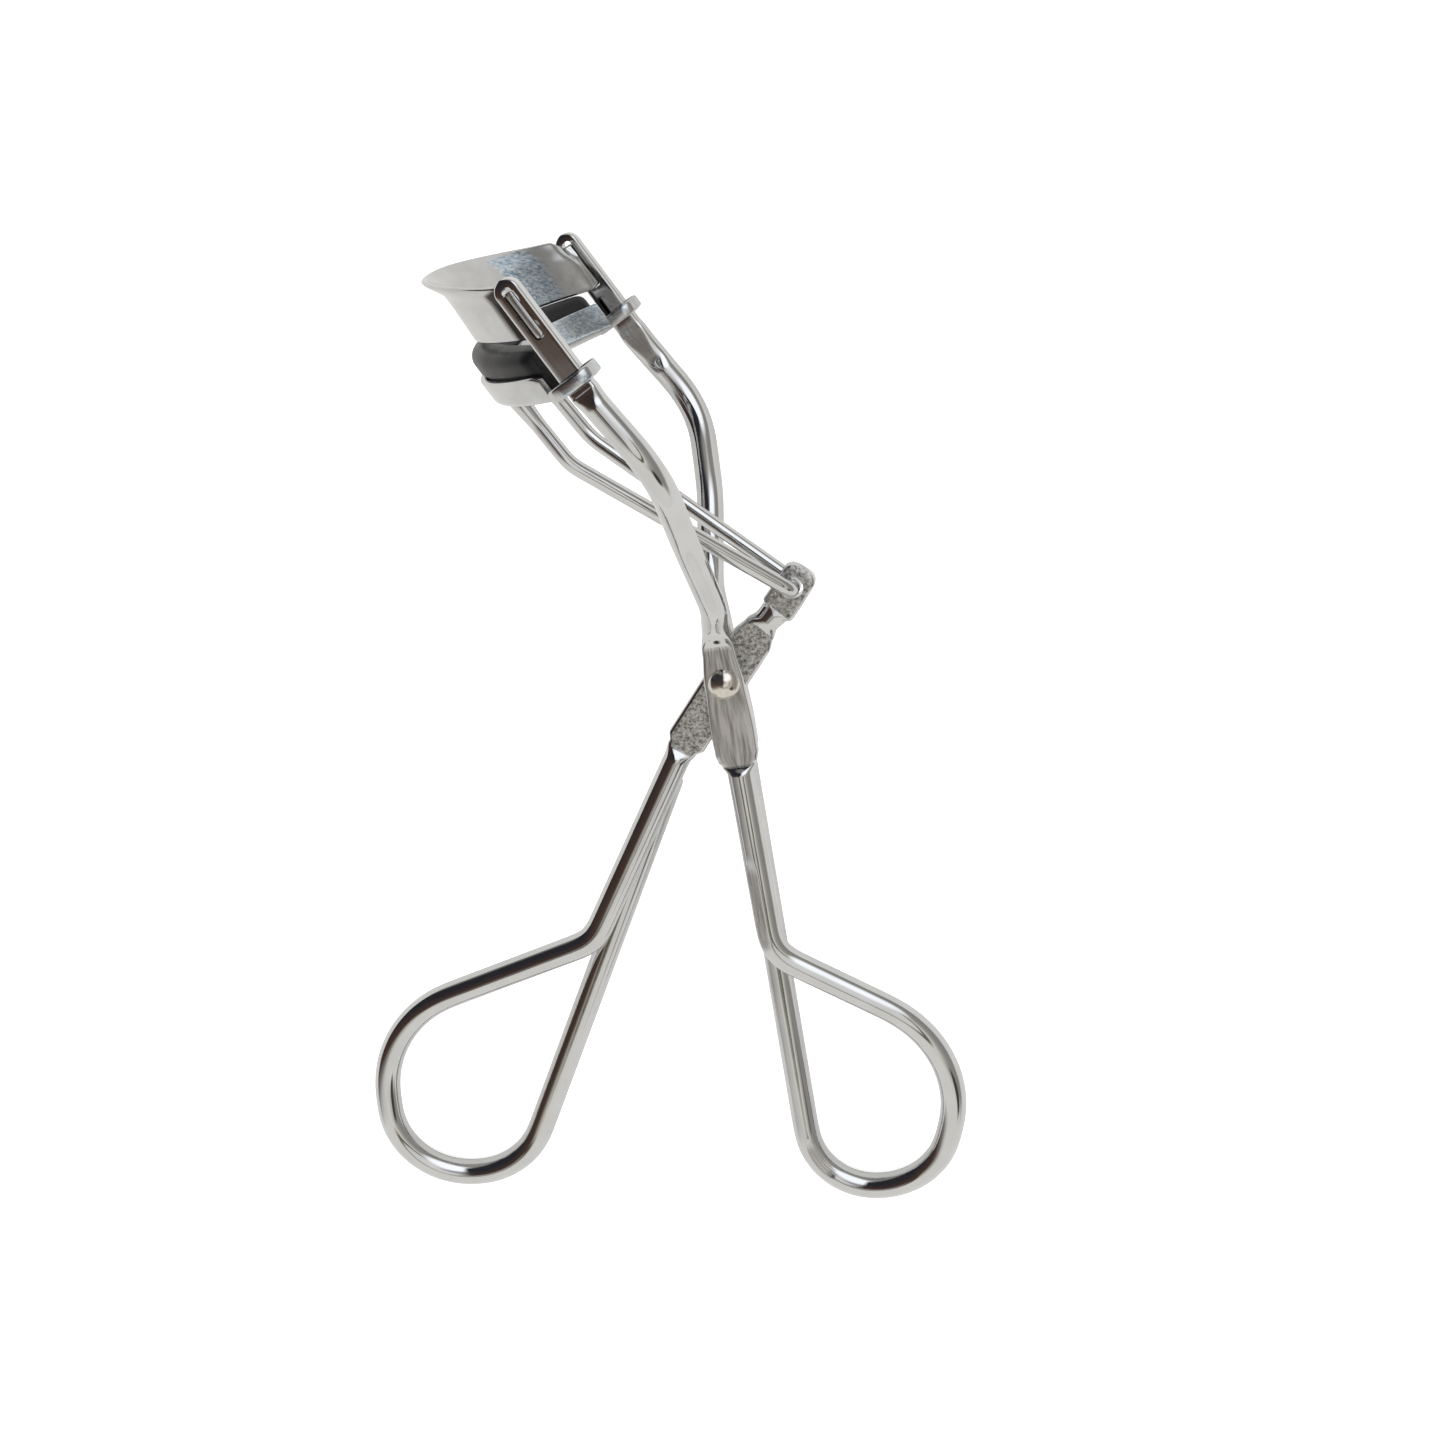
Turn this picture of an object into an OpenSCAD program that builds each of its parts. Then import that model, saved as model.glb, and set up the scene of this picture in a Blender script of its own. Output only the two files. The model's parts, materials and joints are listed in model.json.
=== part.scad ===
// Eyelash curler of bent and pressed wire, lying on a table on its rear side.
// The mechanism is drawn flat, with the pivot at the origin, the head towards +Y and
// the pivot axis along +Z. The laid() module then tips it onto the table.

/* [Wire] */
// Diameter of the frame and lever wire
wire_d = 2.8; // [2.4:0.1:3.0]
// Diameter of the link wire
link_d = 1.6; // [1.4:0.1:1.7]
// Sides of a round wire
wire_sides = 16; // [12:2:16]

/* [Head] */
// Distance from the middle of the head to each guide
guide_half = 16.8; // [16.4:0.1:17.2]
// Angle of the guides from the handle line
guide_angle = 37; // [35:0.5:39]
// Width of a guide bar, along the bulge of the jaws
guide_w = 2.6; // [2.3:0.1:2.6]
// Thickness of a guide bar, along the pivot axis
guide_t = 1.8; // [1.6:0.1:2.0]
// Length of a flattened guide bar, below the centre of its round end
guide_len = 12; // [11.5:0.5:13]
// Radius of the jaws' curve, at the middle of the pad
jaw_r = 18.1; // [17.8:0.1:18.4]
// How far the jaws bulge out from the guides
jaw_bulge = 8.9; // [8.6:0.1:9.2]
// Slope of the line where the jaws meet
jaw_slope = 22; // [21:0.5:23]
// Thickness of the upper jaw's plate
upper_t = 0.6; // [0.5:0.1:0.8]
// Slope of the upper jaw's top edge
lip_slope = 30.5; // [29:0.5:31]
// Width of the lower jaw's trough
trough_w = 4.0; // [3.8:0.1:4.2]
// Thickness of the lower jaw's plate
trough_t = 0.6; // [0.5:0.1:0.7]
// Width of the silicone pad
pad_w = 2.7; // [2.4:0.1:2.7]
// Gap between the pad and the upper jaw, with the handles nearly closed
pad_gap = 0.5; // [0.5:0.1:0.8]
// Thickness of the ears that slide on the guides
ear_t = 1.2; // [1.0:0.1:1.4]
// Radius of the hole in each ear
ear_hole_r = 1.95; // [1.9:0.05:2.0]

/* [Pivot] */
// Radius of the rivet's stem
rivet_r = 1.1; // [1.0:0.05:1.2]
// Radius of the rivet's domed heads
rivet_head_r = 1.65; // [1.6:0.05:1.8]
// Running clearance of the lever on the stem
rivet_clear = 0.05; // [0.03:0.01:0.08]
// Thickness of the lever where it is pressed flat
web_t = 1.7; // [1.5:0.1:1.8]
// Thickness of each frame boss
boss_t = 1.5; // [1.3:0.1:1.7]
// Gap on each side of the lever, between the bosses
side_gap = 0.15; // [0.1:0.05:0.2]
// Distance from the pivot to the link hole, along the lever
link_arm = 12.1; // [11.9:0.1:12.3]
// Radius of the link hole
link_hole_r = 1.1; // [1.0:0.05:1.2]

/* [Rest] */
// How far the head is tipped up as the curler lies on a table
lie_angle = 10.4; // [10:0.1:11]

/* [Hidden] */
$fn = 96;

steel = "#c9c9c6";
satin = "#bdbdba";
silicone = "#38383b";

// Where the table puts the pivot: the middle of the whole object's base is the origin
pivot_at = [6.51, 6.64, 13.27];

// Frame wire
boss_mid = web_t / 2 + side_gap + boss_t / 2;
boss_turn = 10;
boss_top = 4.6;
boss_bottom = -8.9;
front_boss_w = 5.0;
rear_boss_w = 4.4;
guide_top = [-18.7, 41.8];
knee_below_top = 22;
knee_r = 7;
arm_foot_r = 3;
frame_loop = [[5.2, -29.7, boss_mid], [26.3, -40, 0.8], [22.9, -57.3, -1], [9.8, -58.7, -1.5]];
frame_loop_r = [4, 13, 8.5, 7.2];

// Lever, along its own line through the pivot
lever_turn = -31;
web_bottom = -9.2;
neck_at = [7.2, 8.8];
neck_w = 2.4;
head_side = 0.9;
head_w = 3.5;
head_top = 14.8;
head_t = 1.9;
lever_loop = [[-14.2, -29.6, 0.6], [-38.3, -40.5, 0], [-36.8, -59.3, -0.6], [-22.7, -58.4, -1.6]];
lever_loop_r = [4, 12.8, 8.5, 8.2];
lever_tail = [-5.9, -11.2, -2.3];

// Head, in the guides' own frame: x along the bulge, y along the pivot axis, z up the guides
meet_z = -5.3;
lip_z = 0.7;
lip_start_z = 4.2;
lip_flare = 1.1;
lip_rise = 2.6;
slot = [0.6, 5.4];
tab_t = 0.8;
slot_mid_z = -2.6;
guide_x = -0.2;
knee_x = -0.5;
trough_slope = 18;
trough_top_z = -8.1;
trough_bottom_z = -11;
trough_end_x = 1.7;
pad_seat = 0.5;
ear_z = -9.7;
ear_out = 2.4;
ear_back = 2.8;
ear_hole_x = -0.3;
ear_root = 3.2;

// Link wire
link_mid = head_t / 2 + link_d / 2 + 0.15;
link_bend_r = 0.95;
link_knee = [7.7, 6.4, -17];
link_knee_r = 3;
link_end_z = -9.6;
arc_steps = 10;

// --- Paths and swept wire ---

function unit(v) = v / norm(v);

// Points of a round corner of radius r at p, between the straight runs from a and to b
function corner(a, p, b, r) =
    let (u = unit(a - p), v = unit(b - p), inside = acos(u * v), turn = 180 - inside)
    let (start = p + u * r / tan(inside / 2), mid = p + unit(u + v) * r / sin(inside / 2))
    [for (k = [0:arc_steps])
        mid + cos(turn * k / arc_steps) * (start - mid) - r * sin(turn * k / arc_steps) * u];

function rounded(p, r) = [p[0],
    for (i = [1:len(p) - 2]) each corner(p[i - 1], p[i], p[i + 1], r[i - 1]),
    p[len(p) - 1]];

function heading(p, i) =
    let (n = len(p) - 1)
    i == 0 ? unit(p[1] - p[0])
    : i == n ? unit(p[n] - p[n - 1])
    : unit(unit(p[i] - p[i - 1]) + unit(p[i + 1] - p[i]));

// Part of v square to the unit vector t
function square_to(v, t) = unit(v - (v * t) * t);

// One sideways vector for each point, carried along the path with no twist
function sideways(p, first) =
    let (n = len(p))
    [for (i = 0, s = square_to(first, heading(p, 0)); i < n;
          i = i + 1, s = i < n ? square_to(s, heading(p, i)) : s) s];

module swept_wire(p, d, first = [0, 0, 1]) {
    n = len(p);
    side = sideways(p, first);
    points = [for (i = [0:n - 1]) let (t = heading(p, i), s = side[i], c = cross(t, s))
        for (k = [0:wire_sides - 1]) let (turn = 360 * k / wire_sides)
            p[i] + d / 2 * (cos(turn) * s + sin(turn) * c)];
    walls = [for (i = [0:n - 2], k = [0:wire_sides - 1])
        let (j = (k + 1) % wire_sides, a = i * wire_sides, b = a + wire_sides)
            [a + k, b + k, b + j, a + j]];
    caps = [[for (k = [0:wire_sides - 1]) k],
            [for (k = [wire_sides - 1:-1:0]) (n - 1) * wire_sides + k]];
    polyhedron(points, concat(walls, caps));
}

// --- Frames ---

// Tips the flat mechanism onto the table
module laid(tone) {
    color(tone) translate(pivot_at) rotate([lie_angle, 0, 0]) children();
}

// Stands a shape in the guides' frame, with z along the closing direction
module on_guides() {
    translate([guide_top.x, guide_top.y, 0]) rotate([90, 0, 180 + guide_angle]) children();
}

function from_guides(v) = [
    guide_top.x - cos(guide_angle) * v.x - sin(guide_angle) * v.z,
    guide_top.y - sin(guide_angle) * v.x + cos(guide_angle) * v.z,
    v.y];

function on_boss(y) = [-y * sin(boss_turn), y * cos(boss_turn)];
function on_lever(side, up) = [side * cos(lever_turn) - up * sin(lever_turn),
                               side * sin(lever_turn) + up * cos(lever_turn)];

// --- Frame wire: guide bar, bowed arm and boss on each side, then both strands and the loop ---

// at is 1 for the front of the head and -1 for the rear
module guide_bar(at) {
    on_guides() translate([guide_x, at * guide_half, 0]) difference() {
        union() {
            translate([-guide_w / 2, -guide_t / 2, -guide_len]) cube([guide_w, guide_t, guide_len]);
            rotate([90, 0, 0]) cylinder(d = guide_w, h = guide_t, center = true);
        }
        translate([-guide_x, 0, slot_mid_z]) cube([tab_t + 0.1, guide_t + 1, slot.y], center = true);
    }
}

module arm(at) {
    foot = on_boss(boss_top);
    ankle = on_boss(boss_top + 1.6);
    start = from_guides([guide_x, at * guide_half, -guide_len]);
    knee = from_guides([knee_x, at * guide_half, -knee_below_top]);
    swept_wire(rounded([start, knee, [ankle.x, ankle.y, at * boss_mid], [foot.x, foot.y, at * boss_mid]],
                       [knee_r, arm_foot_r]), wire_d);
}

// The front boss is pressed a little wider than the rear one
module boss(at, w) {
    outline = [[0.3, boss_top], [0.39, 3.4], [0.48, 0], [0.5, -4], [0.46, -7], [0.28, boss_bottom]];
    left = [for (i = [len(outline) - 1:-1:0]) [-w * outline[i].x, outline[i].y]];
    right = [for (p = outline) [w * p.x, p.y]];
    translate([0, 0, at * boss_mid]) rotate(boss_turn) linear_extrude(boss_t, center = true)
        difference() {
            polygon(concat(right, left));
            circle(rivet_r);
        }
}

module frame_handle() {
    low = on_boss(boss_bottom);
    swept_wire(rounded(concat([[low.x, low.y, boss_mid]], frame_loop, [[low.x, low.y, -boss_mid]]),
                       frame_loop_r), wire_d);
}

module pivot_rivet() {
    stack = boss_mid + boss_t / 2;
    cylinder(r = rivet_r, h = 2 * stack, center = true);
    for (at = [0, 180]) rotate([at, 0, 0]) translate([0, 0, stack]) rotate_extrude()
        intersection() {
            translate([0, -1.1]) circle(2);
            square([rivet_head_r, 0.9]);
        }
}

// --- Lever ---

module lever_web() {
    rotate(lever_turn) linear_extrude(web_t, center = true) difference() {
        polygon([[-1.4, web_bottom], [-1.8, web_bottom + 1.3], [-1.85, 0], [-1.5, 5.2], [-neck_w / 2, neck_at[0]],
                 [neck_w / 2 + 0.4, neck_at[0]], [2.2, 5.4], [1.9, 0], [2.0, web_bottom + 1.3], [1.4, web_bottom]]);
        circle(rivet_r + rivet_clear);
    }
}

module lever_head() {
    round_r = head_w / 2;
    rotate(lever_turn) linear_extrude(head_t, center = true) difference() {
        union() {
            translate([-neck_w / 2 + 0.2, neck_at[0]]) square([neck_w, 2.4]);
            translate([head_side - round_r, neck_at[1]]) square([head_w, head_top - round_r - neck_at[1]]);
            translate([head_side, head_top - round_r]) circle(round_r);
        }
        translate([head_side, link_arm]) circle(link_hole_r);
    }
}

module lever_handle() {
    low = on_lever(0, web_bottom);
    turn_at = on_lever(0, web_bottom - 1.2);
    swept_wire(rounded(concat([[low.x, low.y, 0], [turn_at.x, turn_at.y, 0]], lever_loop, [lever_tail]),
                       concat([3], lever_loop_r)), wire_d);
}

// --- Jaws ---

// Curved wall between two radii, tall enough to be cut by the sloping planes
module curved_wall(inner, outer) {
    translate([jaw_bulge - jaw_r, 0, -20]) difference() {
        cylinder(r = outer, h = 40);
        translate([0, 0, -1]) cylinder(r = inner, h = 42);
    }
}

// Half-space above a plane that crosses the guides at z and rises with the bulge
module above(z, slope) {
    translate([0, 0, z]) rotate([0, -slope, 0]) translate([-60, -60, 0]) cube([120, 120, 60]);
}

// Everything further out than x
module beyond(x) {
    translate([x, -40, -40]) cube([60, 80, 80]);
}

module upper_jaw() {
    inner = jaw_r - upper_t / 2;
    on_guides() {
        difference() {
            intersection() {
                union() {
                    curved_wall(inner, inner + upper_t);
                    translate([jaw_bulge - jaw_r, 0, lip_start_z]) difference() {
                        cylinder(r1 = inner + upper_t, r2 = inner + upper_t + lip_flare, h = lip_rise);
                        translate([0, 0, -0.01])
                            cylinder(r1 = inner, r2 = inner + lip_flare, h = lip_rise + 0.02);
                    }
                }
                above(meet_z, jaw_slope);
                beyond(0.2);
            }
            above(lip_z, lip_slope);
            translate([jaw_bulge - jaw_r, 0, lip_start_z + 0.9]) cylinder(r = inner + 0.4, h = 20);
        }
        for (at = [-1, 1])
            translate([-tab_t / 2, at > 0 ? 14.6 : -guide_half - slot.x, slot_mid_z - 2.6])
                cube([tab_t, guide_half + slot.x - 14.6, 5.2]);
    }
}

module ear(at) {
    mirror([0, at > 0 ? 0 : 1, 0]) translate([0, 0, ear_z]) linear_extrude(ear_t, center = true)
        difference() {
            union() {
                translate([-ear_back, guide_half - ear_out - 0.5])
                    square([ear_back + ear_root, 2 * ear_out + 0.5]);
                translate([trough_end_x, 13.2]) square([ear_root - trough_end_x, guide_half - 13.2]);
            }
            translate([ear_hole_x, guide_half]) circle(ear_hole_r);
        }
}

module lower_jaw() {
    outer = jaw_r + trough_w / 2;
    inner = jaw_r - trough_w / 2;
    on_guides() {
        difference() {
            intersection() {
                curved_wall(inner, outer);
                above(trough_bottom_z, trough_slope);
                beyond(trough_end_x);
            }
            above(trough_top_z, trough_slope);
            intersection() {
                curved_wall(inner + trough_t, outer - trough_t);
                above(trough_bottom_z + trough_t, trough_slope);
            }
        }
        ear(1);
        ear(-1);
    }
}

module lash_pad() {
    on_guides() difference() {
        intersection() {
            curved_wall(jaw_r - pad_w / 2, jaw_r + pad_w / 2);
            above(trough_bottom_z + trough_t + 0.02, trough_slope);
            beyond(trough_end_x + pad_seat);
        }
        above(meet_z - pad_gap, jaw_slope);
        translate([0, -20, -20]) cube([ear_root + 0.05, 40, 20 + ear_z + ear_t / 2 + 0.02]);
    }
}

module link_wire() {
    hole = on_lever(head_side, link_arm);
    function leg(at, z) = from_guides([link_knee.x, at * link_knee.y, z]);
    front = [leg(1, link_end_z), leg(1, link_knee.z), [hole.x, hole.y, link_mid]];
    rear = [[hole.x, hole.y, -link_mid], leg(-1, link_knee.z), leg(-1, link_end_z)];
    swept_wire(rounded(concat(front, rear), [link_knee_r, link_bend_r, link_bend_r, link_knee_r]), link_d);
}

laid(steel) guide_bar(1);  // frame_front_guide
laid(steel) guide_bar(-1);  // frame_rear_guide
laid(steel) arm(1);  // frame_front_arm
laid(steel) arm(-1);  // frame_rear_arm
laid(steel) boss(1, front_boss_w);  // frame_front_boss
laid(steel) boss(-1, rear_boss_w);  // frame_rear_boss
laid(steel) frame_handle();
laid(steel) pivot_rivet();
laid(satin) upper_jaw();
laid(steel) lever_head();
laid(steel) lever_web();
laid(steel) lever_handle();
laid(satin) lower_jaw();
laid(silicone) lash_pad();
laid(steel) link_wire();
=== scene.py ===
"""An eyelash curler, lying on a table: a bent and pressed wire frame, a lever of the same
wire, a sheet jaw, a trough with a silicone pad, and the thin wire that pulls the trough up."""
import json
import math

import bmesh
import bpy
from mathutils import Matrix, Vector


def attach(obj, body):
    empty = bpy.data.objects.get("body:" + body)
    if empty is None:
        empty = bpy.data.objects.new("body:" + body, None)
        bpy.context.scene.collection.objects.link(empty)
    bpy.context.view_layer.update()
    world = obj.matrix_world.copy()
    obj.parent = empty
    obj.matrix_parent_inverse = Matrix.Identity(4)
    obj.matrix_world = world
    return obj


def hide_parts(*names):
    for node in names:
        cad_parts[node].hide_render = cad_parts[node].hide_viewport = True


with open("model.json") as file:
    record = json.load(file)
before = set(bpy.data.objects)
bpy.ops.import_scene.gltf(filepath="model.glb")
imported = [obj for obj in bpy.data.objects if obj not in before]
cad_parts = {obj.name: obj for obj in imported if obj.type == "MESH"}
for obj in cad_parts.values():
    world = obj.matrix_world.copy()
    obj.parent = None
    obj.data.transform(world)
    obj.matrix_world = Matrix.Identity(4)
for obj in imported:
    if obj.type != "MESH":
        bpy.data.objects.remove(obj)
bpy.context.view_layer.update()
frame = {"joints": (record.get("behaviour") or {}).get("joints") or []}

# --- Sizes, in mm, with the pivot at the origin, the head towards +Y and the pivot axis up ---

WIRE_R = 1.4
LINK_R = 0.8
BOSS_Z = 1.75
BOSS_TURN = math.radians(10)
BOSS_TOP = 4.6
BOSS_BOTTOM = -8.9
BOSS_HALF_T = 0.75
GUIDE_HALF = 16.8
GUIDE_W = 1.3
GUIDE_T = 0.9
GUIDE_X = -0.2
GUIDE_END = -12.0
KNEE = (-0.95, -22.0)
ARM_MIDDLE = (-2.95, 17.0, 10.0)
ARM_FOOT_Z = 4.3
FRAME_LOOP = [(5.2, -29.7, 1.75), (26.3, -40, 0.8), (22.9, -57.3, -1), (9.8, -58.7, -1.5)]
FRAME_LOOP_R = [4, 13, 8.5, 7.2]
LEVER_TURN = math.radians(-31)
LEVER_LOOP = [(-14.2, -29.6, 0.6), (-38.3, -40.5, 0), (-36.8, -59.3, -0.6), (-22.7, -58.4, -1.6)]
LEVER_LOOP_R = [4, 12.8, 8.5, 8.2]
LEVER_TAIL = (-5.9, -11.2, -2.3)
HEAD_SIDE = 0.7
HEAD_TOP = 14.35
LINK_ARM = 12.1
LINK_Z = 1.9
LINK_LEG = [(8.2, 6.4, -8.9), (7.9, 6.6, -17.0)]
JAW_R = 18.1
JAW_BULGE = 8.9
JAW_X = JAW_BULGE - JAW_R
JAW_LOW = -5.35
JAW_HIGH = 6.15
JAW_TAB = 17.6
LOWER_OUT = 0.05
LOWER_END = math.radians(53.5)
PAD_END = math.radians(53.3)
EAR = (5.1, 5.3, 1.35)
EAR_Z = -9.7
EAR_HOLE_R = 1.92
EAR_HOLE_X = -0.42
SLOT = (1.0, 5.7)
SLOT_Z = -2.4

# The flat mechanism, in mm, laid on the table, in metres
hinge = frame["joints"][0]
LAID = (Matrix.Translation(hinge["pos_m"])
        @ Matrix.Rotation(math.atan2(-hinge["axis"][1], hinge["axis"][2]), 4, "X")
        @ Matrix.Scale(0.001, 4))
# The guides' own frame: x along the bulge of the jaws, y along the pivot axis, z up the guides
GUIDES = (Matrix.Translation((-18.7, 41.8, 0)) @ Matrix.Rotation(math.radians(217), 4, "Z")
          @ Matrix.Rotation(math.radians(90), 4, "X"))


def on_boss(y, z):
    return Vector((-y * math.sin(BOSS_TURN), y * math.cos(BOSS_TURN), z))


def on_lever(side, up, z=0.0):
    return Matrix.Rotation(LEVER_TURN, 3, "Z") @ Vector((side, up, z))


# --- Routes and sections ---

RING = 48
QUARTER = RING // 4
SIDE_STEPS = 2
ARC_STEPS = 6
FLAT_STEPS = QUARTER - SIDE_STEPS - ARC_STEPS


def smooth(t):
    t = min(1.0, max(0.0, t))
    return t * t * (3 - 2 * t)


def bent(points, radii):
    """Straight runs joined by round bends."""
    points = [Vector(p) for p in points]
    path = [points[0]]
    for before, p, after, r in zip(points, points[1:], points[2:], radii):
        u = (before - p).normalized()
        v = (after - p).normalized()
        half = u.angle(v) / 2
        start = p + u * r / math.tan(half)
        middle = p + (u + v).normalized() * r / math.sin(half)
        turn = math.pi - 2 * half
        steps = max(4, int(turn * r / 0.2))
        for k in range(steps + 1):
            a = turn * k / steps
            path.append(middle + math.cos(a) * (start - middle) - r * math.sin(a) * u)
    return path + [points[-1]]


class Route:
    """A line through space that can be asked for its point and heading at any length along it."""

    def __init__(self, points, radii, ease=0, step=0.25):
        path = bent(points, radii)
        marks = [0.0]
        for a, b in zip(path, path[1:]):
            marks.append(marks[-1] + (b - a).length)
        count = max(8, int(marks[-1] / step))
        self.step = marks[-1] / count
        self.points = []
        k = 0
        for i in range(count + 1):
            s = i * self.step
            while k < len(path) - 2 and marks[k + 1] < s:
                k += 1
            gap = marks[k + 1] - marks[k] or 1
            self.points.append(path[k].lerp(path[k + 1], min(1, (s - marks[k]) / gap)))
        for _ in range(ease):
            p = self.points
            inner = [(a + 2 * b + c) / 4 for a, b, c in zip(p, p[1:], p[2:])]
            self.points = [p[0]] + inner + [p[-1]]
        self.length = self.step * count

    def at(self, s):
        f = min(len(self.points) - 1.001, max(0.0, s / self.step))
        i = int(f)
        return self.points[i].lerp(self.points[i + 1], f - i)

    def heading(self, s):
        reach = 1.5 * self.step
        return (self.at(s + reach) - self.at(s - reach)).normalized()

    def near(self, p):
        return min(range(len(self.points)), key=lambda i: (self.points[i] - p).length) * self.step


def rounded_bar(half_w, half_t, r):
    """Outline of a bar with round edges, one quarter at a time."""
    r = min(r, half_w * 0.98, half_t * 0.98)
    quarter = [(half_w, (half_t - r) * k / SIDE_STEPS) for k in range(SIDE_STEPS)]
    for k in range(ARC_STEPS):
        a = math.pi / 2 * k / ARC_STEPS
        quarter.append((half_w - r + r * math.cos(a), half_t - r + r * math.sin(a)))
    quarter += [((half_w - r) * (1 - k / FLAT_STEPS), half_t) for k in range(FLAT_STEPS)]
    half = quarter + [(-x, y) for x, y in [(0, half_t)] + quarter[:0:-1]]
    return half + [(-x, -y) for x, y in half]


def on_flat(k):
    """Whether point k of a bar's outline is on one of its two wide faces."""
    return abs(k % (RING // 2) - QUARTER) <= FLAT_STEPS


def rolled(rows, columns, place):
    """A flat sheet rolled into a closed tube: place(row, column) puts each of its points."""
    bm = bmesh.new()
    bmesh.ops.create_grid(bm, x_segments=columns, y_segments=rows - 1, size=0.5)
    marks = {v: (round((v.co.y + 0.5) * (rows - 1)), round((v.co.x + 0.5) * columns)) for v in bm.verts}
    uv = bm.loops.layers.uv.new("along")
    for v, (i, k) in marks.items():
        v.co, flat_place = place(i, k % columns)
        for loop in v.link_loops:
            loop[uv].uv = (flat_place, k / columns)
    bmesh.ops.remove_doubles(bm, verts=bm.verts, dist=1e-5)
    bmesh.ops.holes_fill(bm, edges=[e for e in bm.edges if e.is_boundary], sides=0)
    bmesh.ops.recalc_face_normals(bm, faces=bm.faces)
    return bm


def rows_for(length, step, dense):
    """Places along a length, with more of them round each dense place."""
    rows = [length * i / int(length / step) for i in range(int(length / step) + 1)]
    for middle, half in dense:
        rows += [middle + half * i / 8 for i in range(-8, 9)]
    rows = sorted(s for s in rows if 0 <= s <= length)
    kept = [rows[0]]
    for s in rows[1:]:
        if s - kept[-1] > 0.04:
            kept.append(s)
    return kept


def tip_rows(r):
    return [r * (1 - math.cos(math.radians(a))) for a in range(8, 90, 9)]


def drawn_wire(route, keys, tips, facets=(), step=0.5):
    """A wire along a route. keys give its half width, half thickness, edge radius, how flat it is
    pressed and how grained its flats are; tips round its two ends, and facets are rub marks."""
    def shape(s):
        for (s0, *a), (s1, *b) in zip(keys, keys[1:]):
            if s <= s1:
                t = smooth((s - s0) / (s1 - s0))
                return [x + (y - x) * t for x, y in zip(a, b)]
        return keys[-1][1:]

    length = route.length
    dense = [((a[0] + b[0]) / 2, (b[0] - a[0]) / 2) for a, b in zip(keys, keys[1:])
             if b[0] - a[0] < 4 and a[1:] != b[1:]]
    rows = rows_for(length, step, dense)
    rows = [s for s in rows if tips[0] < s < length - tips[1]]
    rows = tip_rows(tips[0]) + rows + [length - s for s in reversed(tip_rows(tips[1]))]
    sections = []
    for s in rows:
        half_w, half_t, edge, flat, _ = shape(s)
        for tip, far in ((tips[0], s), (tips[1], length - s)):
            if far < tip:
                cut = tip - math.sqrt(tip * tip - (tip - far) ** 2)
                half_w -= min(cut, half_w * 0.9)
                half_t -= min(cut, half_t * 0.9) * 0.35 if flat > 0.5 else min(cut, half_t * 0.9)
        bar = rounded_bar(half_w, half_t, edge)
        tube = [(half_w * math.cos(math.tau * k / RING), half_t * math.sin(math.tau * k / RING))
                for k in range(RING)]
        sections.append([Vector(p).lerp(Vector(q), flat) for p, q in zip(tube, bar)])
    frames = []
    for s in rows:
        t = route.heading(s)
        side = t.cross(Vector((0, 0, 1))).normalized()
        frames.append((route.at(s), side, side.cross(t)))

    def rubbed(s, p):
        for middle, half, turn, depth in facets:
            towards = Vector((math.cos(turn), math.sin(turn)))
            bite = depth * smooth(3 * (1 - abs(s - middle) / half))
            over = p.dot(towards) - (WIRE_R - bite)
            if bite > 0 and over > 0:
                return p - towards * over, min(1, bite / depth)
        return p, 0.0

    def place(i, k):
        p, _ = rubbed(rows[i], sections[i][k])
        middle, side, up = frames[i]
        return middle + side * p.x + up * p.y, rows[i]

    bm = rolled(len(rows), RING, place)
    pressed = bm.verts.layers.float.new("pressed")
    by_place = {}
    for i, s in enumerate(rows):
        flat, grain = shape(s)[3:]
        for k in range(RING):
            worn = rubbed(s, sections[i][k])[1]
            value = max(worn * 0.8, grain if on_flat(k) and flat > 0.9 else 0.0)
            by_place[tuple(round(x, 4) for x in place(i, k)[0])] = value
    for v in bm.verts:
        v[pressed] = by_place.get(tuple(round(x, 4) for x in v.co), 0.0)
    return bm


# --- Finishing a piece ---

def solid(name, bm, matrix=Matrix.Identity(4)):
    """A mesh object from a bmesh in mm, set down in metres."""
    bmesh.ops.transform(bm, matrix=LAID @ matrix, verts=bm.verts)
    mesh = bpy.data.meshes.new(name)
    bm.to_mesh(mesh)
    bm.free()
    piece = bpy.data.objects.new(name, mesh)
    bpy.context.scene.collection.objects.link(piece)
    return piece


def carve(piece, tool, operation="DIFFERENCE"):
    """Cuts the tool's shape out of a piece, or joins it on, and throws the tool away."""
    step = piece.modifiers.new("carve", "BOOLEAN")
    step.operation = operation
    step.solver = "EXACT"
    step.object = tool
    bpy.context.view_layer.update()
    seen = piece.evaluated_get(bpy.context.evaluated_depsgraph_get())
    mesh = bpy.data.meshes.new_from_object(seen)
    piece.modifiers.clear()
    piece.data = mesh
    bpy.data.objects.remove(tool)
    return piece


def finish(piece, material, body, nodes, edge=40):
    for face in piece.data.polygons:
        face.use_smooth = True
    piece.data.set_sharp_from_angle(angle=math.radians(edge))
    piece.data.materials.clear()
    piece.data.materials.append(material)
    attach(piece, body)
    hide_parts(*nodes)
    return piece


# --- Materials ---

def srgb(code):
    """A hex colour as linear light."""
    parts = [int(code[i:i + 2], 16) / 255 for i in (1, 3, 5)]
    return tuple(c / 12.92 if c <= 0.04045 else ((c + 0.055) / 1.055) ** 2.4 for c in parts) + (1.0,)


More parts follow.
